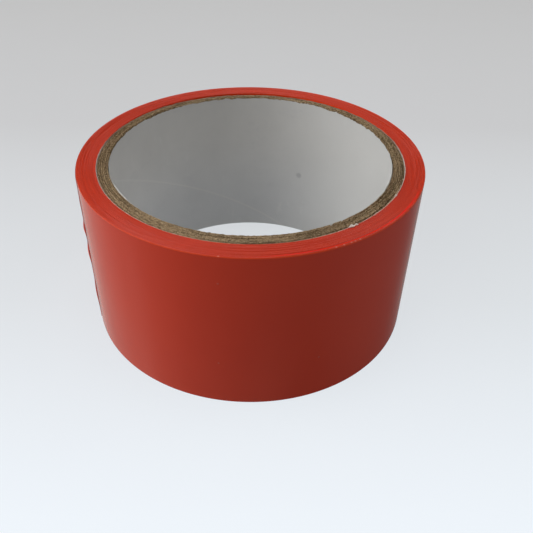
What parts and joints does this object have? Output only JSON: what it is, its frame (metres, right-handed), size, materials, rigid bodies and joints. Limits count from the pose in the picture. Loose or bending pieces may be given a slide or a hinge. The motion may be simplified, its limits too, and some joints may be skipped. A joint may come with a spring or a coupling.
{
  "type": "adhesive tape roll",
  "caption": "Roll of smooth glossy red film tape wound on a brown paper core with a white-lined hole; the free end peels off the roll.",
  "frame": {"origin": "centre of the bottom end face, on the axis of the roll", "axes": "+Z along the roll's axis, up out of the core's hole; -Y towards the front of the roll, -X towards the film's cut end"},
  "size_m": [0.0945, 0.0944, 0.0484],
  "materials": {
    "core_lining": "smooth coated white paper",
    "kraft_ply": "fibrous cut kraft paper",
    "core_wrap": "thin white paper, matte",
    "film": "smooth glossy plasticised film"
  },
  "bodies": {
    "roll": {"core_inner_liner": "core_lining", "core_ply_1": "kraft_ply", "core_ply_2": "kraft_ply", "core_ply_3": "kraft_ply", "core_ply_4": "kraft_ply", "core_ply_5": "kraft_ply", "core_ply_6": "kraft_ply", "core_outer_liner": "core_wrap", "tape_winding": "film", "tape_last_turn": "film"},
    "tail_1": {"tape_tail_1": "film"},
    "tail_2": {"tape_tail_2": "film"},
    "tail_3": {"tape_tail_3": "film"},
    "tail_4": {"tape_tail_4": "film"},
    "tail_5": {"tape_tail_5": "film"},
    "tail_6": {"tape_tail_6": "film"},
    "tail_7": {"tape_tail_7": "film"},
    "tail_8": {"tape_tail_8": "film"},
    "tail_9": {"tape_tail_9": "film"},
    "tail_10": {"tape_tail_10": "film"}
  },
  "joints": [
    {"name": "tail_peel", "type": "hinge", "parent": "roll", "child": "tail_1", "pos_m": [-0.03463, 0.03224, 0.024], "axis": [0, 0, -1], "range_deg": [0, 40]},
    {"name": "tail_bend_2", "type": "hinge", "parent": "tail_1", "child": "tail_2", "pos_m": [-0.03782, 0.02845, 0.024], "axis": [0, 0, -1], "range_deg": [0, 24]},
    {"name": "tail_bend_3", "type": "hinge", "parent": "tail_2", "child": "tail_3", "pos_m": [-0.04058, 0.02434, 0.024], "axis": [0, 0, -1], "range_deg": [0, 16]},
    {"name": "tail_bend_4", "type": "hinge", "parent": "tail_3", "child": "tail_4", "pos_m": [-0.04291, 0.01997, 0.024], "axis": [0, 0, -1], "range_deg": [0, 12]},
    {"name": "tail_bend_5", "type": "hinge", "parent": "tail_4", "child": "tail_5", "pos_m": [-0.04476, 0.01538, 0.024], "axis": [0, 0, -1], "range_deg": [0, 8]},
    {"name": "tail_bend_6", "type": "hinge", "parent": "tail_5", "child": "tail_6", "pos_m": [-0.04613, 0.01062, 0.024], "axis": [0, 0, -1], "range_deg": [0, 8]},
    {"name": "tail_bend_7", "type": "hinge", "parent": "tail_6", "child": "tail_7", "pos_m": [-0.04699, 0.00575, 0.024], "axis": [0, 0, -1], "range_deg": [0, 8]},
    {"name": "tail_bend_8", "type": "hinge", "parent": "tail_7", "child": "tail_8", "pos_m": [-0.04733, 0.00081, 0.024], "axis": [0, 0, -1], "range_deg": [0, 8]},
    {"name": "tail_bend_9", "type": "hinge", "parent": "tail_8", "child": "tail_9", "pos_m": [-0.04716, -0.00414, 0.024], "axis": [0, 0, -1], "range_deg": [0, 8]},
    {"name": "tail_bend_10", "type": "hinge", "parent": "tail_9", "child": "tail_10", "pos_m": [-0.04647, -0.00904, 0.024], "axis": [0, 0, -1], "range_deg": [0, 8]}
  ],
  "couplings": [
    {"joint": "tail_bend_2", "follows": "tail_peel", "ratio": 0.6},
    {"joint": "tail_bend_3", "follows": "tail_peel", "ratio": 0.4},
    {"joint": "tail_bend_4", "follows": "tail_peel", "ratio": 0.3},
    {"joint": "tail_bend_5", "follows": "tail_peel", "ratio": 0.2},
    {"joint": "tail_bend_6", "follows": "tail_peel", "ratio": 0.2},
    {"joint": "tail_bend_7", "follows": "tail_peel", "ratio": 0.2},
    {"joint": "tail_bend_8", "follows": "tail_peel", "ratio": 0.2},
    {"joint": "tail_bend_9", "follows": "tail_peel", "ratio": 0.2},
    {"joint": "tail_bend_10", "follows": "tail_peel", "ratio": 0.2}
  ]
}
